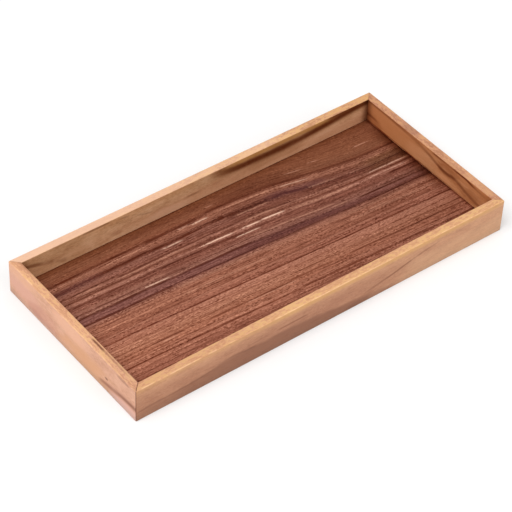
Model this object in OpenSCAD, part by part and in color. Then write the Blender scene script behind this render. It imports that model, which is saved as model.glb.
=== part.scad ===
// Rectangular wooden tray: four mitred rails, grooved for a veneered floor panel,
// with a loose spline glued into each mitre.
// The origin is the middle of the underside. +X runs along the tray, +Y across it, +Z is up.

/* [Tray] */
// Length over the rails
tray_length = 340; // [220:5:600]
// Width over the rails
tray_width = 160; // [100:5:400]
// Height of the rails, from the underside to the rim
tray_height = 30; // [22:1:60]

/* [Rails] */
// Thickness of the rails
rail_thickness = 7; // [6.5:0.5:12]
// Radius of the eased edges along the rim, inside and outside
rim_ease = 0.7; // [0.3:0.1:1.5]
// Radius of the eased outer edge along the underside
foot_ease = 1; // [0.3:0.1:1]
// Radius of the eased inner edge along the underside
lip_ease = 0.5; // [0.2:0.1:1]
// Radius of the eased upright corners of the frame
corner_ease = 1; // [0.3:0.1:1.5]

/* [Groove] */
// Height of the groove's lower side, where the panel rests
groove_height = 5; // [3:0.2:12]
// Depth of the groove in the rail's inner face
groove_depth = 2.8; // [1.6:0.1:3.4]

/* [Floor panel] */
// Thickness of the show veneer on top
face_veneer = 0.6; // [0.4:0.1:1.2]
// Thickness of the cross-grained core
core_thickness = 2.8; // [1.8:0.1:4]
// Thickness of the balancing veneer underneath
back_veneer = 0.6; // [0.4:0.1:1.2]
// Gap that lets the panel's edges move in the groove
panel_edge_gap = 0.4; // [0.2:0.1:0.8]
// Running gap between the panel's face and the groove's upper side
panel_face_gap = 0.1; // [0.05:0.05:0.3]

/* [Corner splines] */
// Thickness of a spline
spline_thickness = 1.6; // [1:0.1:2.2]
// Least wood left between a spline slot and the rail's outer face
slot_skin = 1; // [0.6:0.1:1.4]
// Least wood left between a spline slot and the panel groove, along the mitre
slot_to_groove = 0.2; // [0.1:0.1:0.6]
// Distance from the rim to the closed end of the slot
slot_stop = 6; // [4:0.5:10]
// Glue gap round a spline in its slot
spline_fit = 0.05; // [0.02:0.01:0.1]

/* [Hidden] */
$fn = 48;
// Every cutter reaches this far past the face that it opens
overrun = 1;
diagonal = sqrt(2);

half_length = tray_length / 2;
half_width = tray_width / 2;

panel_thickness = back_veneer + core_thickness + face_veneer;
groove_width = panel_thickness + panel_face_gap;
panel_inset = rail_thickness - groove_depth + panel_edge_gap;
panel_length = tray_length - 2 * panel_inset;
panel_width = tray_width - 2 * panel_inset;
core_z = groove_height + back_veneer;
face_z = core_z + core_thickness;

// Along the mitre, distances start at the frame's outer corner
groove_reach = (rail_thickness - groove_depth) * diagonal;
slot_thickness = spline_thickness + 2 * spline_fit;
slot_start = groove_reach - slot_to_groove - slot_thickness;
slot_width = 2 * (slot_start - slot_skin * diagonal);
slot_top = tray_height - slot_stop;
spline_start = slot_start + spline_fit;
spline_width = slot_width - 2 * spline_fit;
spline_height = slot_top - spline_fit;

LIGHT_RAIL = [0.80, 0.60, 0.44];
WARM_RAIL = [0.72, 0.50, 0.34];
FLOOR_FACE = [0.56, 0.36, 0.27];
FLOOR_BACK = [0.62, 0.43, 0.32];
CORE_PLY = [0.83, 0.70, 0.53];
SPLINE_WOOD = [0.66, 0.45, 0.30];

// What easing takes off the square corner at the origin of a section that fills +X and +Y
module ease(radius) {
    difference() {
        translate([-overrun, -overrun])
            square(radius + overrun);
        translate([radius, radius])
            circle(radius);
    }
}

// Cross-section of every rail: x runs inwards from the outer face, y runs up
module rail_section() {
    difference() {
        square([rail_thickness, tray_height]);
        ease(foot_ease);
        translate([0, tray_height])
            mirror([0, 1])
                ease(rim_ease);
        translate([rail_thickness, tray_height])
            rotate(180)
                ease(rim_ease);
        translate([rail_thickness, 0])
            mirror([1, 0])
                ease(lip_ease);
        translate([rail_thickness - groove_depth, groove_height])
            square([groove_depth + overrun, groove_width]);
    }
}

// Outline of a rail from above, mitred and eased at its outer corners:
// x runs along the rail from its middle, y runs inwards from the outer face
module rail_plan(length) {
    half = length / 2;
    short_half = half - rail_thickness;
    difference() {
        polygon([[-half, 0], [half, 0], [short_half, rail_thickness], [-short_half, rail_thickness]]);
        translate([-half, 0])
            ease(corner_ease);
        translate([half, 0])
            mirror([1, 0])
                ease(corner_ease);
    }
}

// A rail whose outer face lies at y = 0 and whose inner face looks along +Y
module rail(length) {
    difference() {
        intersection() {
            translate([-length / 2, 0, 0])
                rotate([90, 0, 90])
                    linear_extrude(length)
                        rail_section();
            linear_extrude(tray_height)
                rail_plan(length);
        }
        for (end = [0, 1])
            mirror([end, 0, 0])
                translate([-length / 2, 0, -overrun])
                    across_mitre(slot_start, slot_thickness, slot_width, slot_top + overrun);
    }
}

// A board across the mitre of the corner at the origin, whose two outer faces run along +X and +Y
module across_mitre(start, thickness, width, height) {
    rotate(45)
        translate([start, -width / 2, 0])
            cube([thickness, width, height]);
}

// One layer of the floor panel
module panel_layer(z, thickness) {
    translate([-panel_length / 2, -panel_width / 2, z])
        cube([panel_length, panel_width, thickness]);
}

// The spline of one corner: side_x is -1 at the left and 1 at the right, side_y -1 in front and 1 behind
module spline(side_x, side_y) {
    translate([side_x * half_length, side_y * half_width, 0])
        mirror([side_x > 0 ? 1 : 0, 0, 0])
            mirror([0, side_y > 0 ? 1 : 0, 0])
                across_mitre(spline_start, spline_thickness, spline_width, spline_height);
}

module front_rail() {
    color(LIGHT_RAIL)
        translate([0, -half_width, 0])
            rail(tray_length);
}

module back_rail() {
    color(WARM_RAIL)
        translate([0, half_width, 0])
            rotate(180)
                rail(tray_length);
}

module left_end_rail() {
    color(LIGHT_RAIL)
        translate([-half_length, 0, 0])
            rotate(-90)
                rail(tray_width);
}

module right_end_rail() {
    color(WARM_RAIL)
        translate([half_length, 0, 0])
            rotate(90)
                rail(tray_width);
}

module floor_face_veneer() {
    color(FLOOR_FACE)
        panel_layer(face_z, face_veneer);
}

module floor_core() {
    color(CORE_PLY)
        panel_layer(core_z, core_thickness);
}

module floor_back_veneer() {
    color(FLOOR_BACK)
        panel_layer(groove_height, back_veneer);
}

module front_left_spline() {
    color(SPLINE_WOOD)
        spline(-1, -1);
}

module front_right_spline() {
    color(SPLINE_WOOD)
        spline(1, -1);
}

module back_left_spline() {
    color(SPLINE_WOOD)
        spline(-1, 1);
}

module back_right_spline() {
    color(SPLINE_WOOD)
        spline(1, 1);
}

front_rail();
back_rail();
left_end_rail();
right_end_rail();
floor_face_veneer();
floor_core();
floor_back_veneer();
front_left_spline();
front_right_spline();
back_left_spline();
back_right_spline();
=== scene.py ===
from math import radians, sqrt

import bmesh
import bpy
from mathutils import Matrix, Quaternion, Vector


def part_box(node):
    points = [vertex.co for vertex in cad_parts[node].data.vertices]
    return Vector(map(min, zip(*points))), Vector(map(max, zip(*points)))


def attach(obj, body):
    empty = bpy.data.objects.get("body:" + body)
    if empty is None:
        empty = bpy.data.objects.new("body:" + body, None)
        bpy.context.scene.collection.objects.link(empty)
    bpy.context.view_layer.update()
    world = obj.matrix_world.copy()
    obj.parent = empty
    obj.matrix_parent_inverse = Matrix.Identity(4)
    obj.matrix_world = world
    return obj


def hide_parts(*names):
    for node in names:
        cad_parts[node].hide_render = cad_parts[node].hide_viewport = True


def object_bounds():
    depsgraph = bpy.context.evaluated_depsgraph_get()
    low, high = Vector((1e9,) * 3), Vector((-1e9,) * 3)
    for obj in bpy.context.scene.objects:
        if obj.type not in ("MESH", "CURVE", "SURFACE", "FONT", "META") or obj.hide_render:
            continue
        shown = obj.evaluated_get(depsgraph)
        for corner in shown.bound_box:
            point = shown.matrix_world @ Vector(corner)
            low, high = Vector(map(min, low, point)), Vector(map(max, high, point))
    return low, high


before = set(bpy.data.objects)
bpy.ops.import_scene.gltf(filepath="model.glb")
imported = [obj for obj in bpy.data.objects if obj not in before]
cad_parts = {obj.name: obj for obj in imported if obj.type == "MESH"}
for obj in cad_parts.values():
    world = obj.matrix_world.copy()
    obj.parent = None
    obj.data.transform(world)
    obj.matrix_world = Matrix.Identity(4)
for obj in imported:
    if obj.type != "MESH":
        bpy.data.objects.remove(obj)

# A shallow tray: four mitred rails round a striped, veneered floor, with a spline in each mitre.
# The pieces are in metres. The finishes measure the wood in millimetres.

cad_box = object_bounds()

MM = 0.001
DIAGONAL = sqrt(2)
TOLERANCE = 0.01 * MM

# Sizes of the tray, from the frame
LOWEST, HIGHEST = cad_box
HALF_LENGTH = HIGHEST.x
HALF_WIDTH = HIGHEST.y
HEIGHT = HIGHEST.z
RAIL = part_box("front_rail")[1].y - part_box("front_rail")[0].y
PANEL_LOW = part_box("floor_back_veneer")[0]
PANEL_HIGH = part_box("floor_face_veneer")[1]

# Easing of the rails' edges
RIM_EASE = 0.7 * MM
FOOT_EASE = 1 * MM
LIP_EASE = 0.5 * MM
CORNER_EASE = 1 * MM
EASE_STEPS = 6
ARRIS = 0.12 * MM
ARRIS_STEPS = 2
SHARP_ANGLE = radians(32)

# Clearances of the panel in its groove and of a spline in its slot
PANEL_EDGE_GAP = 0.4 * MM
PANEL_FACE_GAP = 0.1 * MM
SPLINE = 1.6 * MM
SPLINE_FIT = 0.05 * MM
OVERRUN = 1 * MM

# How far apart the woods lie in the noise that their grain is read from
SEED_STEP = 50
SHIFT_STEP = 7

# How much a shade changes a colour's red, green and blue, and the darkest shade there is
SHADE_PULL = (0.85, 1.1, 1.2)
DARKEST_SHADE = -0.7

# The same sizes in millimetres, for the finishes
LONG = 2 * HALF_LENGTH / MM
WIDE = 2 * HALF_WIDTH / MM
TALL = HEIGHT / MM
THICK = RAIL / MM
WELL_LONG = LONG - 2 * THICK
WELL_WIDE = WIDE - 2 * THICK


# Modelling

def take(piece):
    """Leaves this piece selected and active, and nothing else."""
    bpy.ops.object.select_all(action="DESELECT")
    piece.select_set(True)
    bpy.context.view_layer.objects.active = piece


def block(name, centre, size, turn=0):
    """A block at its size and place, turned about the upright, with its place in its mesh."""
    bpy.ops.object.select_all(action="DESELECT")
    bpy.ops.mesh.primitive_cube_add(size=1, location=centre, scale=size, rotation=(0, 0, turn))
    piece = bpy.context.active_object
    piece.name = piece.data.name = name
    bpy.ops.object.transform_apply(location=True, rotation=True, scale=True)
    return piece


def choose(piece, kind, wanted):
    """In edit mode, leaves selected only the edges or faces that pass the test."""
    bpy.ops.mesh.select_mode(type=kind)
    bpy.ops.mesh.select_all(action="DESELECT")
    mesh = bmesh.from_edit_mesh(piece.data)
    for part in (mesh.edges if kind == "EDGE" else mesh.faces):
        part.select_set(wanted(part))
    bmesh.update_edit_mesh(piece.data)


def level(part, height):
    """Whether an edge or face lies flat at that height."""
    return all(abs(vertex.co.z - height) < TOLERANCE for vertex in part.verts)


def from_faces(point):
    """How far a point lies in from the nearer end of the frame and from its nearer side."""
    return HALF_LENGTH - abs(point.x), HALF_WIDTH - abs(point.y)


def on_outline(part, inset):
    """Whether an edge or face lies all along the frame's outline, that far in from its outer faces."""
    return all(abs(min(from_faces(vertex.co)) - inset) < TOLERANCE for vertex in part.verts)


def on_outer_corner(edge):
    """Whether an edge stands at one of the frame's four outer corners."""
    return all(max(from_faces(vertex.co)) < TOLERANCE for vertex in edge.verts)


def outside(edge):
    """Whether an edge belongs to the outer faces of the frame or to its eased corners."""
    return all(min(from_faces(vertex.co)) < CORNER_EASE / 2 for vertex in edge.verts)


def ease(piece, radius, wanted):
    """Rounds the chosen edges."""
    choose(piece, "EDGE", wanted)
    bpy.ops.mesh.bevel(offset=radius, segments=EASE_STEPS, affect="EDGES", clamp_overlap=False)


def frame_ring():
    """The four rails in one closed ring: its well, its eased edges and the groove for the panel."""
    centre = (LOWEST + HIGHEST) / 2
    ring = block("frame_ring", centre, HIGHEST - LOWEST)
    bpy.ops.object.mode_set(mode="EDIT")

    choose(ring, "FACE", lambda face: level(face, 0) or level(face, HEIGHT))
    bpy.ops.mesh.inset(thickness=RAIL)
    bpy.ops.mesh.bridge_edge_loops()

    ease(ring, CORNER_EASE, on_outer_corner)
    ease(ring, RIM_EASE, lambda edge: level(edge, HEIGHT) and outside(edge))
    ease(ring, FOOT_EASE, lambda edge: level(edge, 0) and outside(edge))
    ease(ring, RIM_EASE, lambda edge: level(edge, HEIGHT) and on_outline(edge, RAIL))
    ease(ring, LIP_EASE, lambda edge: level(edge, 0) and on_outline(edge, RAIL))

    groove_low = PANEL_LOW.z
    groove_high = PANEL_HIGH.z + PANEL_FACE_GAP
    groove_depth = RAIL - (HALF_LENGTH - PANEL_HIGH.x) + PANEL_EDGE_GAP
    for height in (groove_low, groove_high):
        choose(ring, "FACE", lambda face: on_outline(face, RAIL))
        bpy.ops.mesh.bisect(plane_co=(0, 0, height), plane_no=(0, 0, 1))
    choose(ring, "FACE", lambda face: on_outline(face, RAIL)
           and groove_low < face.calc_center_median().z < groove_high)
    bpy.ops.mesh.extrude_region_shrink_fatten(
        TRANSFORM_OT_shrink_fatten={"value": -groove_depth, "use_even_offset": True})
    bpy.ops.object.mode_set(mode="OBJECT")
    return ring


def spline_slots():
    """Four cutters, each a little larger than its spline and open underneath."""
    cutters = []
    for side_y, row in ((-1, "front"), (1, "back")):
        for side_x, end in ((-1, "left"), (1, "right")):
            low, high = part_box(f"{row}_{end}_spline")
            width = (high.x - low.x) * DIAGONAL - SPLINE
            top = high.z + SPLINE_FIT
            size = (SPLINE + 2 * SPLINE_FIT, width + 2 * SPLINE_FIT, top + OVERRUN)
            centre = ((low.x + high.x) / 2, (low.y + high.y) / 2, (top - OVERRUN) / 2)
            cutters.append(block(f"{row}_{end}_slot", centre, size, radians(45 * side_x * side_y)))
    return cutters


def finish_with(piece, kind, **settings):
    """Adds a modifier to the piece and applies it."""
    take(piece)
    bpy.ops.object.modifier_add(type=kind)
    modifier = piece.modifiers[-1]
    for setting, value in settings.items():
        setattr(modifier, setting, value)
    bpy.ops.object.modifier_apply(modifier=modifier.name)


def cut_rail(ring, cutters, name, outward):
    """One rail, sawn from a copy of the ring along its two mitres, arrised and slotted for its splines."""
    rail = ring.copy()
    rail.data = ring.data.copy()
    rail.name = rail.data.name = name
    bpy.context.collection.objects.link(rail)
    take(rail)
    along = Vector((abs(outward.y), abs(outward.x), 0))
    reach = Vector((HALF_LENGTH, HALF_WIDTH, 0))
    bpy.ops.object.mode_set(mode="EDIT")
    for end in (along, -along):
        corner = (outward + end) * reach
        bpy.ops.mesh.select_all(action="SELECT")
        bpy.ops.mesh.bisect(plane_co=corner, plane_no=end - outward, use_fill=True, clear_outer=True)
    bpy.ops.mesh.select_all(action="SELECT")
    bpy.ops.mesh.bisect(plane_co=(0, 0, 0), plane_no=-outward, clear_outer=True)
    bpy.ops.object.mode_set(mode="OBJECT")

    finish_with(rail, "BEVEL", width=ARRIS, segments=ARRIS_STEPS, angle_limit=SHARP_ANGLE)
    for cutter in cutters:
        finish_with(rail, "BOOLEAN", object=cutter, operation="DIFFERENCE", solver="EXACT")
    bpy.ops.object.shade_smooth_by_angle(angle=SHARP_ANGLE)
    finish_with(rail, "WEIGHTED_NORMAL", keep_sharp=True)
    return rail


# Fields of a finish: values that change over the wood

class Field:
    """A value that changes over the wood. Sums, differences and products of fields are fields too."""

    def __init__(self, socket):
        self.socket = socket

    def __add__(self, other):
        return reckon("ADD", self, other)

    def __sub__(self, other):
        return reckon("SUBTRACT", self, other)

    def __rsub__(self, other):
        return reckon("SUBTRACT", other, self)

    def __mul__(self, other):
        return reckon("MULTIPLY", self, other)

    def __truediv__(self, other):
        return reckon("DIVIDE", self, other)

    def __abs__(self):
        return reckon("ABSOLUTE", self)

    __radd__ = __add__


def feed(socket, value):
    """Links a field to the socket, or sets a plain value on it."""
    if isinstance(value, Field):
        socket.id_data.links.new(value.socket, socket)
    else:
        socket.default_value = value


def reckon(operation, *values):
    """A field worked out from others, or from numbers, by one sum."""
    tree = next(value.socket.id_data for value in values if isinstance(value, Field))
    node = tree.nodes.new("ShaderNodeMath")
    node.operation = operation
    for socket, value in zip(node.inputs, values):
        feed(socket, value)
    return Field(node.outputs[0])


def least(first, second):
    """The lower of two fields, or of a field and a number."""
    return reckon("MINIMUM", first, second)


def most(first, second):
    """The higher of two fields, or of a field and a number."""
    return reckon("MAXIMUM", first, second)


def rise(field, start, end, high=1.0, kind="SMOOTHSTEP"):
    """A field that goes from 0 where the other is at start to high where it is at end, and stays there."""
    node = field.socket.id_data.nodes.new("ShaderNodeMapRange")
    node.interpolation_type = kind
    for name, value in (("Value", field), ("From Min", start), ("From Max", end), ("To Max", high)):
        feed(node.inputs[name], value)
    return Field(node.outputs["Result"])


def drawn(field, span, points, high=1.0):
    """A field drawn as a smooth curve through (place, value) points, up to span and to high."""
    node = field.socket.id_data.nodes.new("ShaderNodeFloatCurve")
    curve = node.mapping.curves[0]
    shares = [(place / span, value / high) for place, value in points]
    while len(curve.points) < len(shares):
        curve.points.new(0, 0)
    for point, share in zip(curve.points, shares):
        point.location = share
        point.handle_type = "AUTO_CLAMPED"
    node.mapping.update()
    feed(node.inputs["Value"], field / span)
    return Field(node.outputs[0]) * high


# Finishes

def tone(red, green, blue):
    """A colour as a screen shows it, from 0 to 255, made linear."""
    def linear(value):
        share = value / 255
        return share / 12.92 if share <= 0.04045 else ((share + 0.055) / 1.055) ** 2.4
    return (linear(red), linear(green), linear(blue), 1.0)


class Finish:
    """A material that is built up like a finish, from its grain to its polish."""

    def __init__(self, name):
        self.material = bpy.data.materials.new(name)
        self.material.use_nodes = True
        self.tree = self.material.node_tree
        self.shader = self.tree.nodes["Principled BSDF"]
        place = self.tree.nodes.new("ShaderNodeTexCoord")
        parts = self.tree.nodes.new("ShaderNodeSeparateXYZ")
        self.tree.links.new(place.outputs["Object"], parts.inputs[0])
        self.x, self.y, self.z = [Field(socket) * (1 / MM) for socket in parts.outputs]

    def noise(self, first, second, third=0.0, detail=2.0):
        """Unevenness from 0 to 1, mostly near 0.5, that turns about once in a unit of each field."""
        place = self.tree.nodes.new("ShaderNodeCombineXYZ")
        for socket, value in zip(place.inputs, (first, second, third)):
            feed(socket, value)
        node = self.tree.nodes.new("ShaderNodeTexNoise")
        self.tree.links.new(place.outputs[0], node.inputs["Vector"])
        node.inputs["Scale"].default_value = 1.0
        node.inputs["Detail"].default_value = detail
        return Field(node.outputs["Fac"])

    def scale_of(self, tones, field):
        """A colour read off a scale of screen tones, each with its place from 0 to 1."""
        node = self.tree.nodes.new("ShaderNodeValToRGB")
        scale = node.color_ramp.elements
        while len(scale) < len(tones):
            scale.new(0.5)
        for element, (place, colour) in zip(scale, tones):
            element.position = place
            element.color = tone(*colour)
        feed(node.inputs[0], field)
        return Field(node.outputs["Color"])

    def lay(self, amount, over, blend):
        """Lays another colour over the finish's own, by an amount from 0 to 1."""
        node = self.tree.nodes.new("ShaderNodeMix")
        node.data_type = "RGBA"
        node.blend_type = blend
        under, top = [socket for socket in node.inputs if socket.type == "RGBA"]
        feed(node.inputs[0], amount)
        feed(under, self.colour)
        feed(top, over)
        self.colour = Field(next(socket for socket in node.outputs if socket.type == "RGBA"))

    def stain(self, amount, over):
        """Stains the wood with a screen tone, or with a colour read off a scale."""
        self.lay(amount, over if isinstance(over, Field) else tone(*over), "MIX")

    def darken(self, amount, shares):
        """Leaves only these shares of the wood's red, green and blue where the amount is 1."""
        self.lay(amount, (*shares, 1), "MULTIPLY")

    def vary(self, shade):
        """Makes the wood lighter where the shade is above 0, and darker and redder where it is below."""
        node = self.tree.nodes.new("ShaderNodeCombineColor")
        for socket, pull in zip(node.inputs, SHADE_PULL):
            feed(socket, most(shade, DARKEST_SHADE) * pull + 1)
        self.lay(1.0, Field(node.outputs[0]), "MULTIPLY")

    def polish(self, roughness, relief, depth, gloss):
        """The finished material, with its colour, roughness and relief. The depth is in millimetres."""
        feed(self.shader.inputs["Base Color"], self.colour)
        feed(self.shader.inputs["Roughness"], roughness)
        self.shader.inputs["Specular IOR Level"].default_value = gloss
        bump = self.tree.nodes.new("ShaderNodeBump")
        bump.inputs["Distance"].default_value = depth * MM
        feed(bump.inputs["Height"], relief)
        self.tree.links.new(bump.outputs["Normal"], self.shader.inputs["Normal"])
        return self.material


class Board(Finish):
    """The wood of one rail, in millimetres along it, in from its outer face and up from its foot.

    Its rim, outer face and inner face are fields too: 1 on that face, and 0 elsewhere.
    """

    def __init__(self, name, side, seed):
        super().__init__(name)
        self.start = seed * SEED_STEP
        self.height = self.z
        if side in ("front", "back"):
            self.length = LONG
            self.along = self.x + LONG / 2
            self.depth = self.y + WIDE / 2 if side == "front" else WIDE / 2 - self.y
        else:
            self.length = WIDE
            self.along = WIDE / 2 - self.y
            self.depth = self.x + LONG / 2 if side == "left" else LONG / 2 - self.x
        self.rim = rise(self.height, TALL - 0.7, TALL - 0.1)
        self.outer = rise(self.depth, 4, 1)
        self.inner = rise(self.depth, 3, 6) * (1 - self.rim)

    def grain(self, length, width, detail=2.0, shift=0.0):
        """Unevenness drawn out along the rail, to that length and width."""
        start = self.start + shift * SHIFT_STEP
        return self.noise(
            self.along / length + start, self.depth / width + start, self.height / width, detail=detail)

    def plain_wood(self, tones, streaky=1.0, cloudy=1.0):
        """Growth bands, long fibres, short flecks and clouds of tone."""
        sway = (self.grain(70, 24, detail=1) - 0.5) * 5
        height = self.height + sway
        depth = self.depth + sway * 0.5
        start = self.start
        bands = self.noise(self.along / 110 + start, depth / 3.2, height / 3.2, detail=3)
        self.fibres = self.noise(self.along / 20 + start, depth / 0.6, height / 0.6)
        self.flecks = self.noise(self.along / 2.6 + start, depth / 0.9, height / 0.9, detail=1)
        self.pores = rise(
            self.noise(self.along / 3.4 + start, depth / 0.32, height / 0.32, detail=1), 0.6, 0.74)
        self.clouds = self.grain(18, 7, shift=1)
        shade = 0.5 + ((bands - 0.5) * 0.5 + (self.fibres - 0.5) * 0.4) * streaky
        shade = shade + ((self.clouds - 0.5) * 0.9 + (self.flecks - 0.5) * 0.7) * cloudy
        self.colour = self.scale_of(tones, shade)
        self.stain(self.pores * 0.25, (128, 80, 50))

    def growth_lines(self, count, shift):
        """Growth lines that wander along the rail, as on a face sawn through the rings."""
        swell = self.grain(190, 22, detail=1, shift=shift) * count + self.height / 12
        return rise(abs(reckon("FRACT", swell) - 0.5), 0.22, 0.02)

    def line(self, path, strength, half_width):
        """How strongly a growth line shows, drawn along the rail through (along, height) points."""
        waver = (self.clouds - 0.5) * 1.5
        offset = abs(self.height + waver - drawn(self.along, self.length, path, high=TALL))
        return rise(offset, half_width, half_width * 0.15) * self.reach(*strength)

    def under(self, path, strength, softness):
        """How much darker wood shows below a line drawn through (along, height) points."""
        edge = drawn(self.along, self.length, path, high=TALL) - self.height - (self.clouds - 0.5) * 5
        return rise(edge, -softness, softness) * self.reach(*strength)

    def reach(self, *strength):
        """A strength drawn along the rail as (along, strength) points."""
        return drawn(self.along, self.length, strength)

    def patch(self, place, size, strength):
        """How strongly a soft patch shows. Its place and how far it reaches are (along, height)."""
        along = (self.along - place[0]) / size[0]
        height = (self.height - place[1]) / size[1]
        spread = along * along + height * height + (self.clouds - 0.5) * 1.5
        return rise(spread, 1, 0.1) * strength

    def mottle_rim(self, brown, rosy, golden, amount):
        """The rim, where the cut grain shows brown, rosy and golden by turns."""
        patches = self.grain(7, 2.2, detail=1, shift=3)
        mottle = 0.5 + (self.clouds - 0.5) * 1.2 + (self.flecks - 0.5) * 1.9 + (patches - 0.5) * 1.6
        tones = ((0.25, brown), (0.42, rosy), (0.62, golden))
        self.stain(self.rim * amount, self.scale_of(tones, mottle))

    def glue(self, lines, corner_shade):
        """The thin dark glue line along each mitre, and painted shade in the inner corner at each end."""
        for end, strength, corner_shade_strength in zip((self.along, self.length - self.along), lines, corner_shade):
            line = rise(end - self.depth, 0.55, 0.1)
            self.stain(line * strength, (94, 50, 32))
            # Painted shade in the inner corner: the inner face darkens over its last few millimetres
            # before the mitre.
            corner = rise(end, THICK + 8, THICK - 0.5) * self.inner
            self.darken(corner * corner_shade_strength, (0.3, 0.17, 0.1))

    def wear_and_edge_highlight(self):
        """Rim edges stained lighter, partly as wear from hands and partly as a painted highlight on the
        eased edges, and a foot that the table has soiled a little.
        """
        patches = rise(self.grain(9, 9, shift=2), 0.35, 0.65)
        # Painted highlight together with wear: the outer and inner edges of the rim are stained lighter.
        edges = most(rise(self.depth, 1.3, 0.3), rise(self.depth, THICK - 0.6, THICK, 0.4)) * self.rim
        self.stain(edges * patches * 0.5, (244, 202, 160))
        foot = rise(self.height, 1.4, 0)
        self.stain(foot * patches * 0.3, (120, 84, 62))

    def oil(self):
        """A satin oil finish over open pores."""
        roughness = 0.46 + self.pores * 0.2 + (self.fibres - 0.5) * 0.2 - self.rim * 0.05
        relief = (self.fibres - 0.5) * 0.5 - self.pores
        return self.polish(roughness, relief, depth=0.05, gloss=0.18)


# The woods of the four rails

def front_rail_wood():
    """Pinkish tan, dusky over the left half of its outer face, with a dark arch low down."""
    wood = Board("front_rail_wood", "front", 1)
    wood.plain_wood((
        (0.2, (168, 116, 84)), (0.4, (190, 138, 104)), (0.55, (201, 149, 113)),
        (0.75, (212, 161, 124))), streaky=0.7, cloudy=0.6)
    dusky = wood.reach((0, 0.85), (60, 0.85), (140, 1), (180, 0.95), (215, 0.75), (258, 0.3), (340, 0.05))
    wood.darken(dusky * rise(wood.height, 33, 15) * wood.outer, (0.72, 0.63, 0.64))
    golden = rise(wood.height, 24, 29) * wood.reach(
        (0, 0.25), (100, 0.3), (140, 0.6), (300, 0.6), (340, 0.4))
    wood.stain(golden * wood.outer, (212, 162, 96))
    outline = ((0, 8.5), (15, 9.4), (45, 9.8), (62, 11.5), (74, 14.4), (84, 15.4), (98, 13.8),
               (120, 14.4), (145, 13.4), (162, 11.2), (182, 9), (205, 7), (240, 1))
    arch = wood.under(
        path=outline,
        strength=((0, 0.45), (20, 0.6), (60, 0.8), (100, 0.9), (170, 0.95), (205, 0.6), (235, 0.2),
                  (250, 0), (340, 0)),
        softness=1.8)
    wood.stain(arch * wood.outer, (141, 93, 69))
    edge = wood.line(
        path=outline,
        strength=((0, 0), (12, 0.5), (60, 0.55), (70, 0.15), (84, 0.4), (92, 0.5), (100, 0.6), (106, 0),
                  (340, 0)),
        half_width=1.4)
    wood.stain(edge * wood.outer, (122, 76, 54))
    brown_grain = rise(wood.grain(9, 0.8, shift=4), 0.55, 0.68) * rise(wood.height, 17, 7) * wood.outer
    wood.darken(brown_grain * 0.5, (0.74, 0.62, 0.56))
    spot = wood.patch((200, 2.6), (16, 3.6), 0.3)
    wood.stain(spot * wood.outer, (108, 62, 44))
    pale = wood.reach((0, 0), (230, 0), (260, 0.35), (340, 0.35)) * rise(wood.height, 20, 14)
    wood.stain(pale * wood.outer, (208, 164, 127))
    # Painted shade along the foot of the outer face: its lowest few millimetres turn a little darker and
    # less red.
    wood.darken(rise(wood.height, 7, 2) * wood.outer, (0.92, 0.97, 1))
    rising = wood.line(
        path=((200, 8), (215, 11), (232, 14.2), (240, 16), (245, 17.4), (257, 20), (270, 22), (282, 26)),
        strength=((200, 0), (213, 0.5), (222, 0.6), (233, 0.8), (246, 0.8), (251, 0.3), (259, 0.5),
                  (272, 0.35), (285, 0), (340, 0)),
        half_width=1.5)
    ticks = wood.line(
        path=((100, 17.6), (128, 18.2), (148, 18.2)),
        strength=((94, 0), (104, 0.35), (118, 0.1), (126, 0.7), (146, 0.8), (152, 0), (340, 0)),
        half_width=1.1)
    wood.stain(most(rising, ticks) * wood.outer, (132, 82, 56))
    wood.mottle_rim(brown=(204, 150, 108), rosy=(216, 160, 126), golden=(222, 175, 120), amount=0.75)
    left_third = wood.reach((0, 1), (80, 0.9), (130, 0), (340, 0)) * wood.rim
    wood.darken(left_third, (0.92, 0.89, 0.92))
    wood.glue(lines=(0.95, 0.3), corner_shade=(0.2, 0.2))
    wood.wear_and_edge_highlight()
    return wood.oil()


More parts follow.
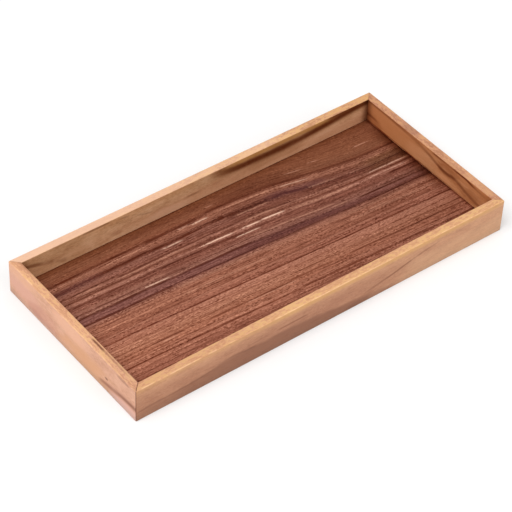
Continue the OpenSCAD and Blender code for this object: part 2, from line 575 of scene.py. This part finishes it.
def back_rail_wood():
    """Golden tan, with one dark streak that curves along the right half of its inner face."""
    wood = Board("back_rail_wood", "back", 2)
    wood.plain_wood((
        (0.2, (184, 136, 98)), (0.4, (202, 156, 116)), (0.55, (213, 168, 128)),
        (0.75, (224, 181, 143))), streaky=1 + wood.outer * 0.7, cloudy=1 - wood.outer * 0.7)
    wood.stain(wood.growth_lines(count=9, shift=5) * wood.outer * 0.35, (158, 108, 74))
    shady = wood.reach(
        (0, 1), (50, 0.9), (80, 0.1), (130, 0.2), (180, 0.6), (250, 0.5), (285, 0.1), (340, 0))
    wood.darken(shady * wood.inner, (0.84, 0.8, 0.74))
    rosy = rise(wood.height, 25, 14) * wood.reach(
        (0, 0.2), (70, 0.2), (130, 0.4), (240, 0.55), (275, 0.5), (340, 0.4))
    wood.stain(rosy * wood.inner, (206, 147, 113))
    low = wood.patch((236, 16), (38, 6), 0.6)
    wood.darken(low * wood.inner, (0.78, 0.74, 0.66))
    light = wood.patch((138, 12.5), (26, 5.5), 0.5)
    wood.stain(light * wood.inner, (219, 172, 140))
    under_rim = rise(wood.height, 21, 28) * wood.reach(
        (0, 0.3), (60, 0.4), (85, 0.8), (150, 0.8), (172, 0.2), (195, 0.4), (230, 0.6), (256, 0), (340, 0))
    wood.darken(under_rim * wood.inner, (0.93, 0.84, 0.72))
    path = ((160, 28), (182, 25.8), (195, 24), (205, 23.2), (213, 22.8), (230, 22.3), (248, 21.9),
            (258, 22.2), (268, 22.7), (280, 23.6), (300, 25.5), (320, 27.4), (340, 29.2))
    halo = wood.line(
        path=path,
        strength=((0, 0), (160, 0), (184, 0.75), (200, 0.95), (215, 0.8), (280, 0.9), (310, 0.9),
                  (340, 0.9)),
        half_width=6.8)
    wood.darken(halo * wood.inner, (0.5, 0.35, 0.25))
    golden = rise(wood.height, 24.5, 27.5) * wood.reach(
        (0, 0), (180, 0), (208, 0.7), (280, 0.75), (305, 0.1), (340, 0))
    wood.stain(golden * wood.inner, (190, 136, 72))
    streak = wood.line(
        path=path,
        strength=((0, 0), (172, 0), (190, 0.4), (202, 0.85), (213, 1), (250, 1), (265, 0.85), (285, 1),
                  (340, 1)),
        half_width=4.6)
    streak = streak * (wood.flecks * 0.8 + 0.55)
    upper = wood.line(
        path=((280, 28), (310, 29), (340, 29.6)),
        strength=((0, 0), (284, 0), (298, 0.9), (340, 1)),
        half_width=3)
    wood.darken(most(streak, upper) * wood.inner, (0.36, 0.17, 0.08))
    marks = wood.line(
        path=((0, 23.4), (12, 22.3), (18, 21), (24, 19.3), (30, 17.5), (34, 16.8), (40, 13.6), (50, 12)),
        strength=((0, 0.5), (12, 0.75), (22, 0.7), (27, 0.35), (32, 0.5), (36, 0.2), (42, 0.4), (49, 0),
                  (340, 0)),
        half_width=3)
    falling = wood.line(
        path=((60, 28.6), (84, 28.4), (97, 26.7), (108, 23.5), (120, 20), (138, 18), (168, 17)),
        strength=((60, 0), (68, 0.5), (81, 0.5), (88, 0), (98, 0.4), (104, 0.05), (118, 0.35),
                  (126, 0.05), (150, 0.1), (162, 0.45), (170, 0), (340, 0)),
        half_width=1.6)
    wood.stain(most(marks, falling) * wood.inner, (116, 66, 34))
    brown = wood.patch((90, 14.5), (7, 3), 0.35)
    wood.stain(brown * wood.inner, (150, 96, 66))
    wood.mottle_rim(brown=(186, 130, 92), rosy=(218, 160, 128), golden=(224, 174, 108), amount=0.6)
    # Painted light: the rim is stained paler towards the left end of the rail.
    pale = wood.reach(
        (0, 0.85), (120, 0.7), (190, 0.4), (206, 0.35), (222, 0.5), (238, 0.35), (256, 0.1), (340, 0))
    wood.stain(pale * wood.rim, (231, 187, 158))
    # Painted shade: the rim darkens towards the right end of the rail.
    right_end_rim_shade = wood.reach((0, 0), (248, 0), (262, 0.6), (280, 0.4), (298, 1), (340, 1)) * wood.rim
    wood.darken(right_end_rim_shade, (0.92, 0.87, 0.85))
    wood.glue(lines=(0.3, 0.3), corner_shade=(0.5, 0.95))
    wood.wear_and_edge_highlight()
    return wood.oil()


def left_rail_wood():
    """Pale salmon tan, with one dark line that rises to the near corner."""
    wood = Board("left_rail_wood", "left", 3)
    wood.plain_wood((
        (0.2, (197, 143, 112)), (0.4, (210, 156, 127)), (0.55, (216, 163, 134)),
        (0.75, (223, 173, 144))), streaky=0.5)
    golden = most(wood.patch((18, 28), (40, 6), 0.4), wood.patch((98, 8), (40, 14), 0.85))
    wood.stain(golden * wood.outer, (214, 157, 116))
    rosy = most(wood.patch((18, 15), (30, 10), 0.85), wood.patch((150, 7), (24, 6), 0.7))
    wood.stain(rosy * wood.outer, (218, 163, 141))
    light = most(wood.patch((80, 24), (30, 9), 0.8), wood.patch((14, 27), (30, 8), 0.6))
    wood.stain(light * wood.outer, (231, 176, 144))
    hollow = most(wood.patch((44, 9), (24, 9), 0.6), wood.patch((38, 6), (11, 5), 0.85))
    wood.stain(hollow * wood.outer, (196, 137, 116))
    wan = wood.patch((151, 4), (24, 6.5), 0.75)
    wood.stain(wan * wood.outer, (222, 174, 156))
    # Painted shade along the foot of the outer face: its lowest few millimetres turn darker and less red.
    wood.darken(rise(wood.height, 8, 2) * wood.outer, (0.84, 0.9, 0.98))
    path = ((108, 4), (117, 6.2), (127, 8), (134, 9.2), (142, 10.8), (150, 11.5), (160, 12))
    shadow = wood.line(
        path=path,
        strength=((0, 0), (108, 0), (120, 0.45), (136, 0.75), (160, 0.75)),
        half_width=4.8)
    wood.stain(shadow * wood.outer, (184, 129, 105))
    rising = wood.line(
        path=path,
        strength=((0, 0), (111, 0), (118, 0.5), (127, 0.65), (133, 0.45), (140, 0.65), (150, 0.75),
                  (160, 0.75)),
        half_width=2.6)
    squiggle = wood.patch((124.5, 13), (2.8, 1.8), 0.85)
    flecks = wood.patch((144, 28), (9, 2), 0.4)
    wood.stain(most(rising, most(squiggle, flecks)) * wood.outer, (134, 80, 54))
    wood.darken(wood.rim, (0.93, 0.91, 0.82))
    wood.mottle_rim(brown=(200, 144, 108), rosy=(226, 168, 136), golden=(230, 182, 122), amount=0.45)
    dull_end = rise(wood.depth, 4.4, 7) * wood.reach((0, 0.9), (16, 0.7), (34, 0.15), (90, 0), (160, 0))
    wood.stain(dull_end * wood.rim * 0.8, (150, 100, 70))
    grain_mark = rise(abs(wood.depth - 4.8), 1.3, 0.3) * wood.reach(
        (0, 0), (97, 0), (104, 1), (111, 1), (117, 0.5), (140, 0.3), (150, 0), (160, 0))
    edge_mark = rise(abs(wood.depth - 6.7), 0.8, 0.2) * wood.reach(
        (0, 0), (112, 0), (120, 0.5), (150, 0.5), (160, 0))
    wood.stain(most(grain_mark, edge_mark) * wood.rim * 0.8, (96, 48, 28))
    near_end = wood.reach((0, 0), (110, 0), (135, 0.8), (160, 0.8)) * wood.rim
    wood.darken(near_end, (0.9, 0.88, 0.94))
    wood.glue(lines=(0.3, 1), corner_shade=(0.2, 0.2))
    wood.wear_and_edge_highlight()
    return wood.oil()


def right_rail_wood():
    """Orange brown, with a dark band that falls across its inner face."""
    wood = Board("right_rail_wood", "right", 4)
    wood.plain_wood((
        (0.2, (170, 116, 76)), (0.4, (190, 136, 94)), (0.55, (202, 149, 106)),
        (0.75, (214, 163, 122))), streaky=1 + wood.outer * 0.7, cloudy=1 - wood.outer * 0.7)
    wood.stain(wood.growth_lines(count=8, shift=3) * wood.outer * 0.35, (144, 92, 60))
    orange = wood.reach((0, 0.9), (50, 0.85), (80, 0.5), (110, 0.5), (160, 0.75)) * wood.inner
    wood.stain(orange, (200, 129, 81))
    light = most(wood.patch((72, 17), (24, 8), 0.45), wood.patch((100, 13), (11, 3.5), 0.6))
    wood.stain(light * wood.inner, (216, 150, 106))
    dusky = most(wood.patch((104, 24), (16, 6), 0.6), wood.patch((130, 17), (20, 7), 0.55))
    # This patch by the back corner is painted shade in the inner corner; the other dusky patches are the
    # wood's own.
    dusky = most(dusky, wood.patch((12, 11), (16, 11), 0.6))
    dusky = most(dusky, wood.patch((103, 20), (12, 3.4), 0.6))
    wood.darken(dusky * wood.inner, (0.64, 0.5, 0.42))
    under_rim = rise(wood.height, 21, 28.5) * wood.reach((0, 0), (50, 0.1), (75, 0.6), (160, 0.7))
    wood.darken(under_rim * wood.inner, (0.86, 0.72, 0.58))
    falling_band = wood.line(
        path=((12, 29.4), (40, 28.9), (54, 28.1), (66, 26.8), (78, 25), (86, 23), (92, 21), (98, 19.7),
              (104, 19.6), (109, 20.4), (116, 19.4), (124, 17), (136, 14.4), (146, 13)),
        strength=((0, 0), (16, 0.65), (46, 0.6), (62, 0.35), (80, 0.5), (90, 0.7), (97, 0.85),
                  (109, 0.85), (114, 0.65), (124, 0.6), (136, 0.5), (148, 0.2), (160, 0)),
        half_width=2.6)
    near_rim = wood.line(
        path=((80, 28.2), (96, 28.8), (122, 28.9), (130, 27.6), (144, 26)),
        strength=((0, 0), (82, 0), (90, 0.7), (99, 0.5), (103, 0.3), (110, 0.6), (118, 1), (127, 1),
                  (134, 0.5), (146, 0.2), (160, 0)),
        half_width=1.8)
    back_marks = wood.line(
        path=((0, 15), (12, 16.2), (26, 15)),
        strength=((0, 0.7), (14, 0.6), (26, 0), (160, 0)),
        half_width=2.2)
    dark = most(falling_band, most(near_rim, back_marks))
    wood.darken(dark * wood.inner, (0.34, 0.19, 0.12))
    # Painted shade along the foot of the inner face, where it meets the floor, broken up by the fibres.
    foot = rise(wood.height, 11.4, 9.8) * rise(wood.fibres, 0.38, 0.52) * wood.reach(
        (0, 1), (75, 1), (95, 0.5), (130, 0.5), (160, 0.9))
    wood.darken(foot * wood.inner, (0.36, 0.15, 0.08))
    wood.mottle_rim(brown=(180, 126, 98), rosy=(205, 143, 121), golden=(211, 158, 115), amount=0.6)
    ends = wood.reach((0, 0.7), (40, 0.4), (70, 0), (110, 0), (150, 1), (160, 1)) * wood.rim
    wood.darken(ends, (0.9, 0.88, 0.9))
    smudge = rise(abs(wood.along - 55), 12, 4) * wood.rim
    wood.stain(smudge * 0.45, (140, 92, 78))
    smudge = rise(abs(wood.along - 110), 18, 8) * rise(wood.depth, 3, 4.5) * wood.rim
    wood.stain(smudge * 0.3, (150, 96, 70))
    wood.glue(lines=(0.3, 0.3), corner_shade=(0.85, 0.3))
    wood.wear_and_edge_highlight()
    return wood.oil()


# The floor's figure. A place across it is a line's distance from the back wall at the left end.
# Behind, in the middle and in front, the lines drift by different amounts, which blend in between.

DRIFT_ROUNDS = 3
BEHIND_TO_MIDDLE = (17, 47)
MIDDLE_TO_FRONT = (54, 66)

# The ground tones, as (place across, (red, green, blue))
TONES_END = 140
GROUND_TONES = (
    (0, (134, 82, 58)), (9, (137, 87, 64)), (13, (135, 82, 60)), (17, (150, 98, 78)),
    (20, (153, 101, 81)), (22.5, (137, 86, 68)), (27.5, (137, 89, 74)), (30, (141, 91, 76)),
    (32, (132, 82, 66)), (35, (150, 100, 83)), (37.5, (138, 86, 68)), (40.3, (162, 111, 94)),
    (44, (138, 86, 70)), (48.5, (146, 95, 79)), (53, (148, 100, 85)), (57.5, (140, 91, 80)),
    (61, (142, 92, 80)), (64.5, (158, 106, 88)), (68, (164, 107, 85)), (75, (170, 112, 89)),
    (79, (160, 102, 80)), (84, (166, 107, 86)), (92, (178, 119, 96)), (98, (180, 122, 97)),
    (103, (176, 117, 92)), (108, (170, 110, 86)), (113, (182, 122, 98)), (118, (177, 117, 94)),
    (124, (162, 103, 82)))

# Streaks, as (place across, half width, strength) where they run all the way. Others end with where they
# start and stop along the floor, and some with the length of their fading ends. -20 and 350 lie past it.
SOFT_BANDS = (
    (6.4, 4.4, 0.5, 90, 165, 12), (9, 7, 0.6, 165, 240, 15), (4, 2.5, 0.25, 165, 240, 12),
    (17.6, 1.8, 0.45, 92, 152), (22.3, 2.8, 0.35, 240, 350, 15), (30.5, 4, 0.45, 165, 240, 10),
    (29.2, 3.8, 0.85, 225, 350, 15), (47.8, 2.6, 0.35, 90, 165, 10), (46.5, 3, 0.5, 200, 350, 30),
    (47, 4, 0.6, 309, 350, 5), (52, 2.2, 0.4, 240, 350, 15), (60.3, 4.2, 0.68, 150, 284, 15),
    (61.6, 3.2, 0.75, 284, 350, 15), (5, 5, 0.15, 240, 350, 15))

DARK_LINES = (
    (5, 1.2, 0.3, -20, 90), (7, 0.8, 0.5, 122, 130), (9, 0.9, 0.45, 192, 208), (8.4, 0.8, 0.5, 216, 226),
    (4, 0.6, 0.3, 256, 263), (15.6, 2, 1, -20, 95), (15.7, 2.6, 0.9, 95, 152),
    (14.6, 2.4, 0.85, 152, 240), (14, 2, 0.75, 235, 350), (18.2, 1, 0.3, 90, 165),
    (21.6, 1, 0.3, 165, 240), (24.7, 2.5, 1, -20, 95), (25.5, 2.4, 1, 90, 165),
    (26.2, 2.5, 1, 160, 240, 10), (27.6, 1, 0.4, 240, 350), (29, 1.2, 0.35, 165, 240),
    (32.2, 0.9, 0.5, -20, 60), (33.5, 1.2, 0.8, 60, 165), (33.5, 1.1, 0.6, 165, 215),
    (32.8, 1.4, 0.6, 240, 350), (36.4, 0.9, 0.3, -20, 90), (37.6, 1.5, 0.5, -20, 240),
    (37.6, 1.6, 0.8, 240, 350), (42.6, 1.7, 0.85, -20, 90), (43.2, 2.1, 0.85, 90, 165),
    (42.8, 1.5, 0.6, 165, 290), (43.9, 2, 1, 299, 350), (45.6, 1.2, 0.6, 34, 90), (46.5, 1, 0.5, 90, 125),
    (47.6, 1.2, 0.4, 235, 282), (49.6, 1.2, 0.15, 90, 165), (51.4, 1.1, 0.7, -20, 165),
    (51.6, 1, 0.4, 165, 240), (52.5, 0.9, 0.6, 284, 318), (55.3, 1.7, 0.95, -20, 90),
    (55.9, 1.8, 0.95, 90, 165), (56.8, 1.6, 0.6, 165, 250), (54.8, 1.5, 1, 262, 350),
    (62.5, 1.9, 1, -20, 90), (62.1, 1.5, 0.9, 90, 170), (63, 2, 0.65, 170, 240),
    (63.2, 2.1, 0.9, 240, 350), (70, 0.9, 0.4, 10, 75), (70.4, 1.7, 0.65, 90, 170),
    (71.4, 1.1, 0.5, 226, 254), (71.2, 1.1, 0.6, 298, 350), (73, 1.2, 0.3, -20, 90),
    (75.6, 1, 0.3, 165, 240), (77.3, 1.4, 0.5, -20, 165), (77.3, 1.2, 0.3, 165, 240),
    (79.4, 1.1, 0.6, -20, 22), (80, 1.1, 0.5, 48, 92), (80.1, 1.1, 0.5, 124, 152),
    (80.2, 1, 0.4, 165, 226), (80.5, 1.1, 0.5, 226, 312), (84.2, 1.2, 0.6, 240, 296),
    (84.4, 1.1, 0.3, -20, 165), (87.7, 1.3, 0.95), (90.6, 0.9, 0.3, -20, 90), (93.4, 0.9, 0.3, -20, 90),
    (95, 1, 0.4, 90, 165), (100.8, 1.1, 0.45, -20, 60), (101.2, 1.1, 0.45, 60, 140),
    (99.6, 1.2, 0.55, 165, 350), (104.4, 1.2, 0.65, -20, 88), (105.6, 1.3, 0.8, 88, 162),
    (104.2, 1.3, 0.75, 160, 350), (107.4, 1, 0.35, 240, 350), (110, 1.1, 0.5, -20, 90),
    (111.6, 1.1, 0.2, 90, 240), (110.2, 1.2, 0.6, 288, 320), (115.4, 1.5, 0.9, -20, 90),
    (115.3, 1.4, 0.85, 90, 165), (114.7, 1.6, 0.85, 165, 350), (120.4, 1.2, 0.35), (124.5, 1, 0.4),
    (128.6, 1.4, 0.65))

PALER_STREAKS = (
    (2, 0.9, 0.5, 296, 310), (2.3, 0.8, 0.5, 255, 262), (6.6, 0.8, 0.5, 231, 244),
    (10.2, 0.8, 0.4, 159, 164), (18.6, 0.9, 0.3, 15, 50), (19.4, 0.9, 0.35, 62, 96),
    (18.3, 1, 0.35, 166, 210), (27.2, 1, 0.35, 237, 261), (27.1, 1, 0.25, 273, 281),
    (28.4, 0.8, 0.4, 172, 200), (33.7, 0.9, 0.5, 26, 46), (35.1, 0.9, 0.35, 60, 118),
    (34.6, 1, 0.3, 176, 200), (39.8, 1, 0.2, 12, 50), (40.4, 1.2, 0.45, 212, 266),
    (48.6, 1, 0.25, -20, 90), (50, 1.1, 0.35, 168, 240), (53.6, 0.9, 0.3, 20, 66),
    (53.8, 0.9, 0.2, 94, 156), (53, 0.9, 0.35, 239, 253), (65.8, 1.4, 0.25, 90, 165),
    (68.2, 2, 0.2, 165, 350), (72.6, 0.9, 0.4, 260, 276), (74.6, 1.4, 0.3, 90, 165),
    (74.8, 1.6, 0.22, 240, 350), (82, 1.2, 0.18), (89.4, 1.1, 0.25), (91.6, 1.1, 0.22, 90, 350),
    (99.3, 0.9, 0.15, 90, 165), (106.4, 0.9, 0.6, 48, 60), (106.8, 0.9, 0.5, 120, 165),
    (110, 1, 0.15, 90, 240))

PALE_DASHES = (
    (18.5, 0.8, 0.3, 126, 135), (19.6, 0.9, 0.7, 139, 152), (18.6, 0.8, 0.35, 219, 242),
    (28.2, 0.9, 0.6, 105, 121), (34.8, 0.8, 0.45, 286, 323), (40.1, 0.9, 0.85, 132, 157),
    (39.8, 0.9, 0.9, 168, 182), (39.3, 0.9, 0.9, 185, 204), (40, 0.9, 0.25, 282, 292),
    (40, 0.9, 0.25, 298, 316), (45.2, 0.8, 0.65, 158, 177), (53.5, 0.9, 0.65, 71, 90))


class ShowVeneer(Finish):
    """The striped veneer of the floor, whose lines drift towards the front as they run to the right."""

    def __init__(self, name):
        super().__init__(name)
        self.along = self.x + WELL_LONG / 2
        self.from_back = WELL_WIDE / 2 - self.y
        behind = self.drift(
            (100, 0.1), (160, 0.4), (188, 1.8), (212, 4.2), (240, 9.6), (270, 15), (300, 18.3), (326, 19))
        middle = self.drift((62, 1.9), (110, 3.4), (158, 5.6), (206, 9.4), (254, 14), (326, 17))
        front = self.drift((62, 2), (206, 8.7), (302, 13.4), (326, 14.5))
        across = self.from_back - middle
        for _ in range(DRIFT_ROUNDS):
            drift = behind + (middle - behind) * rise(across, *BEHIND_TO_MIDDLE)
            drift = drift + (front - drift) * rise(across, *MIDDLE_TO_FRONT)
            across = self.from_back - drift
        waver = (self.noise(self.along / 30, across / 10, detail=3) - 0.5) * 1.8
        self.across = across + waver
        self.weak_spots = rise(self.noise(self.along / 22, self.across / 2.5, 5), 0.62, 0.35)
        self.uneven = self.across + (self.noise(self.along / 250, self.across / 4, 2, detail=1) - 0.5) * 3
        # The flecks' own two ways lie askew, so that they never line up in rows
        first = self.along / 2.2
        second = self.uneven / 0.8
        self.flecks = self.noise(
            first * 0.8 + second * 0.6, second * 0.8 - first * 0.6, (first + second) * 0.45)
        self.ragged = self.along + (self.flecks - 0.5) * 12

    def drift(self, *points):
        """How far the growth lines of one part of the floor move to the front, as (along, move) points."""
        return drawn(self.along, WELL_LONG, ((0, 0), *points), high=20)

    def reach(self, *strength):
        """A strength drawn along the floor as (along, strength) points."""
        return drawn(self.along, WELL_LONG, strength)

    def stretch(self, start, end, fade=3):
        """How much a stretch of the floor between two places along it shows. Its ends are ragged."""
        half = (end - start) / 2
        return rise(abs(self.ragged - (start + end) / 2), half + fade, half - fade)

    def streaks(self, drawn_streaks):
        """How strongly any of the streaks shows."""
        stretches = {}
        for place, half_width, strength, *stretch in drawn_streaks:
            stretches.setdefault(tuple(stretch), []).append((place, half_width, strength))
        together = 0
        for stretch, lines in stretches.items():
            shown = 0
            for place, half_width, strength in lines:
                shown = most(shown, rise(abs(self.across - place), half_width, half_width * 0.2, strength))
            if stretch:
                shown = shown * self.stretch(*stretch)
            together = most(together, shown)
        return together

    def ground(self):
        """The ground tones, duller to the right in front, partly from the wood and partly as painted
        shade, and with painted shade along the back wall.
        """
        tones = [(place / TONES_END, shade) for place, shade in GROUND_TONES]
        self.colour = self.scale_of(tones, self.across / TONES_END)
        # Partly the wood's colour and partly painted shade: the front of the floor darkens towards the
        # right rail.
        to_right = rise(self.along, 20, 310, kind="LINEAR")
        self.darken(to_right * rise(self.across, 42, 60), (0.76, 0.72, 0.72))
        # Painted shade along the foot of the back rail.
        back_wall_shade = rise(self.from_back, 8, 1)
        self.darken(back_wall_shade, (0.77, 0.7, 0.6))

    def speckle(self):
        """Fine stripes, flecks and the open pores of the vessels, all weaker along the back wall."""
        stripes = self.noise(self.along / 160, self.uneven / 1.6)
        self.fine = self.noise(self.along / 80, self.uneven / 0.8, 3)
        vessels = self.noise(self.along / 11, self.uneven / 0.6, 11, detail=1)
        self.pores = rise(vessels, 0.58, 0.72)
        lively = rise(self.across, 12, 18) * 0.4 + 0.6
        rough = self.weak_spots * 2.6 + 1.2
        shade = (stripes - 0.5) * 0.8 + (self.fine - 0.5) * 1.3 + (self.flecks - 0.5) * rough
        shade = shade + (0.5 - vessels)
        self.vary(shade * lively)
        pinstripes = rise(self.fine, 0.45, 0.36, 0.5) * lively
        self.darken(most(pinstripes, self.pores * 0.5), (0.5, 0.35, 0.28))

    def figure(self):
        """The bands, lines, streaks and dashes, drawn as listed."""
        bands = self.streaks(SOFT_BANDS)
        self.darken(bands, (0.58, 0.43, 0.38))
        # Painted shade on the floor beside the right rail, greener and darker.
        right_wall_shade = rise(abs(self.across - 27), 10, 4) * rise(self.along, 278, 300)
        self.darken(right_wall_shade, (0.8, 0.84, 0.7))

        self.lines = self.streaks(DARK_LINES) * (1 - self.weak_spots * 0.35)
        self.darken(self.lines, (0.36, 0.18, 0.11))

        purple = rise(abs(self.across - 25), 4.5, 1.5) * self.reach(
            (0, 0.1), (15, 0.4), (40, 0.4), (60, 0), (190, 0), (212, 0.6), (238, 0.6), (255, 0))
        purple = most(purple, rise(abs(self.across - 59.3), 4.5, 2) * self.reach(
            (0, 0.3), (100, 0.3), (200, 0.35), (262, 0.2), (290, 0), (326, 0)))
        self.stain(purple * 0.5, (100, 62, 68))

        paler = self.streaks(PALER_STREAKS) * rise(self.flecks, 0.25, 0.5)
        self.stain(paler, (214, 158, 132))
        dashes = self.streaks(PALE_DASHES) * rise(self.flecks, 0.2, 0.5)
        self.stain(dashes, (248, 206, 182))

    def dirt_and_shade_by_rails(self):
        """Painted shade where the floor meets the rails, partly dust and finish gathered there too, and
        painted shade over the end beside the right rail.
        """
        along_rails = least(self.along, WELL_LONG - self.along)
        to_wall = least(along_rails, least(self.from_back, WELL_WIDE - self.from_back))
        # Painted shade with some dust and finish: a thin dark line where the floor meets each rail.
        self.darken(rise(to_wall, 1.4, 0.1, 0.45), (0.45, 0.3, 0.22))
        # Painted shade over the floor's end beside the right rail, darkest right at its foot.
        right_end_shade = rise(self.along, WELL_LONG - 13, WELL_LONG - 1) * rise(abs(self.across - 40), 60, 25)
        self.darken(right_end_shade, (0.48, 0.34, 0.24))
        self.darken(rise(WELL_LONG - self.along, 3, 0.4, 0.7), (0.5, 0.26, 0.16))

    def oil(self):
        """A satin oil finish over open pores."""
        roughness = 0.5 + (self.fine - 0.5) * 0.3 + self.pores * 0.15 - self.lines * 0.05
        relief = (self.fine - 0.5) * 0.4 + (self.flecks - 0.5) * 0.4 - self.pores * 0.8
        return self.polish(roughness, relief, depth=0.06, gloss=0.05)


def show_veneer():
    """The floor's veneer, whose oil deepens it all over."""
    wood = ShowVeneer("show_veneer")
    wood.ground()
    wood.speckle()
    wood.figure()
    wood.darken(1.0, (0.85, 0.815, 0.785))
    wood.dirt_and_shade_by_rails()
    return wood.oil()


# The woods of the panel's other layers and of the splines

def sheet_wood(name, tones, across_tray, seed):
    """The plain wood of the panel's hidden layers, with its grain along or across the tray."""
    wood = Finish(name)
    along, across = (wood.y, wood.x) if across_tray else (wood.x, wood.y)
    sway = (wood.noise(along / 60 + seed, across / 30) - 0.5) * 8
    bands = wood.noise(along / 150 + seed, (across + sway) / 4, detail=3)
    fibres = wood.noise(along / 18 + seed, (across + sway) / 0.6, wood.z)
    pores = rise(wood.noise(along / 4 + seed, (across + sway) / 0.4, detail=1), 0.6, 0.74)
    shade = 0.5 + (bands - 0.5) * 1.3 + (fibres - 0.5) * 0.7
    wood.colour = wood.scale_of(tones, shade)
    wood.stain(pores * 0.4, (110, 72, 48))
    relief = (fibres - 0.5) * 0.6 - pores
    roughness = 0.62 + (fibres - 0.5) * 0.2
    return wood.polish(roughness, relief, depth=0.05, gloss=0.2)


def core_wood():
    """Pale raw wood, with its grain across the tray."""
    return sheet_wood(
        "core_wood", ((0.25, (192, 160, 118)), (0.5, (210, 180, 138)), (0.75, (222, 196, 156))),
        across_tray=True, seed=11)


def back_veneer_wood():
    """Plain sanded veneer, with its grain along the tray like the show veneer's."""
    return sheet_wood(
        "back_veneer_wood", ((0.25, (150, 104, 76)), (0.5, (174, 126, 94)), (0.75, (192, 146, 112))),
        across_tray=False, seed=23)


def spline_wood():
    """A sawn strip whose grain crosses the mitre."""
    wood = Finish("spline_wood")
    first = (wood.x + wood.y) / DIAGONAL
    second = (wood.x - wood.y) / DIAGONAL
    fibres = wood.noise(first / 0.35, second / 0.35, wood.z / 6)
    rings = wood.noise(first / 1.5, second / 1.5, wood.z / 30)
    saw_marks = wood.noise(first / 8, second / 8, wood.z / 0.5, detail=1)
    shade = 0.5 + (rings - 0.5) * 0.9 + (fibres - 0.5) * 0.6
    wood.colour = wood.scale_of(
        ((0.25, (132, 90, 62)), (0.5, (160, 114, 82)), (0.75, (180, 134, 100))), shade)
    relief = fibres * 0.5 + saw_marks
    roughness = 0.7 + (fibres - 0.5) * 0.2
    return wood.polish(roughness, relief, depth=0.08, gloss=0.2)


# Studio, in metres

TABLE_SIZE = 14
TABLE_DROP = 0.05 * MM
TABLE_GREY = 0.70
TABLE_ROUGHNESS = 0.9
TABLE_GLOW = 0.22
ROOM_LIGHT = 0.56
CAMERA_LENS = 148.6
CAMERA_AZIMUTH = radians(-39.39)
CAMERA_ELEVATION = radians(43.03)
CAMERA_ROLL = radians(2.74)
CAMERA_DISTANCE = 1.5833
CAMERA_TARGET = Vector((-0.22, 5.11, 0)) * MM
CAMERA_SIGHT = 50


def direction(azimuth, elevation):
    """The way to a place at that azimuth, counted from the front, and that elevation."""
    turn = Quaternion((0, 0, 1), azimuth)
    lift = Quaternion((1, 0, 0), -elevation)
    return turn @ (lift @ Vector((0, -1, 0)))


def pale_table():
    """The plain pale surface that the tray stands on, lit a little from within like a light table."""
    bpy.ops.object.select_all(action="DESELECT")
    bpy.ops.mesh.primitive_plane_add(size=TABLE_SIZE, location=(0, 0, -TABLE_DROP))
    table = bpy.context.active_object
    table.name = "pale_table"
    material = bpy.data.materials.new("pale_table")
    material.use_nodes = True
    shader = material.node_tree.nodes["Principled BSDF"]
    shader.inputs["Base Color"].default_value = (TABLE_GREY, TABLE_GREY, TABLE_GREY, 1)
    shader.inputs["Roughness"].default_value = TABLE_ROUGHNESS
    shader.inputs["Specular IOR Level"].default_value = 0.0
    shader.inputs["Emission Color"].default_value = (1, 1, 1, 1)
    shader.inputs["Emission Strength"].default_value = TABLE_GLOW
    table.data.materials.append(material)


def soft_light(name, azimuth, elevation, distance, size, power):
    """A square softbox that looks at the tray, with its angles in degrees."""
    place = direction(radians(azimuth), radians(elevation)) * distance
    bpy.ops.object.light_add(type="AREA", location=place)
    light = bpy.context.active_object
    light.name = name
    light.data.shape = "SQUARE"
    light.data.size = size
    light.data.energy = power
    light.rotation_euler = place.to_track_quat("Z", "Y").to_euler()


def studio():
    """The table, an even white room and two softboxes."""
    pale_table()
    world = bpy.data.worlds.new("studio")
    world.use_nodes = True
    background = world.node_tree.nodes["Background"]
    background.inputs["Color"].default_value = (1, 1, 1, 1)
    background.inputs["Strength"].default_value = ROOM_LIGHT
    bpy.context.scene.world = world
    soft_light("key", azimuth=-75, elevation=60, distance=4, size=2.6, power=108)
    soft_light("front_fill", azimuth=15, elevation=40, distance=4, size=2.6, power=37)
    bpy.context.scene.view_settings.view_transform = "Standard"


def camera():
    """The camera, fitted to the tray's edges in the photo."""
    place = CAMERA_TARGET + direction(CAMERA_AZIMUTH, CAMERA_ELEVATION) * CAMERA_DISTANCE
    bpy.ops.object.camera_add(location=place)
    made = bpy.context.active_object
    facing = (CAMERA_TARGET - place).to_track_quat("-Z", "Y")
    made.rotation_euler = (facing @ Quaternion((0, 0, 1), CAMERA_ROLL)).to_euler()
    made.data.lens = CAMERA_LENS
    made.data.clip_end = CAMERA_SIGHT
    bpy.context.scene.camera = made


# Putting the tray together

def fit_rails():
    """Saws four rails from one ring and puts them, each in its own wood, in the CAD rails' place."""
    ring = frame_ring()
    cutters = spline_slots()
    rails = (
        ("front_rail", (0, -1, 0), front_rail_wood, "front_rail_wood"),
        ("back_rail", (0, 1, 0), back_rail_wood, "back_rail_wood"),
        ("left_end_rail", (-1, 0, 0), left_rail_wood, "left_rail_wood"),
        ("right_end_rail", (1, 0, 0), right_rail_wood, "right_rail_wood"))
    for node, outward, wood, slot in rails:
        rail = cut_rail(ring, cutters, f"{node}_planed", Vector(outward))
        rail.data.materials.append(wood())
        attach(rail, "root")
        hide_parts(node)
    for tool in (ring, *cutters):
        bpy.data.objects.remove(tool)


def dress_cad_pieces():
    """Gives the floor's layers and the splines, which are the CAD solids, their woods."""
    finishes = {
        "floor_face_veneer": show_veneer(), "floor_core": core_wood(),
        "floor_back_veneer": back_veneer_wood()}
    spline = spline_wood()
    for name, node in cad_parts.items():
        wood = spline if name.endswith("_spline") else finishes.get(name)
        if wood:
            node.material_slots[0].material = wood


camera()
studio()
fit_rails()
dress_cad_pieces()
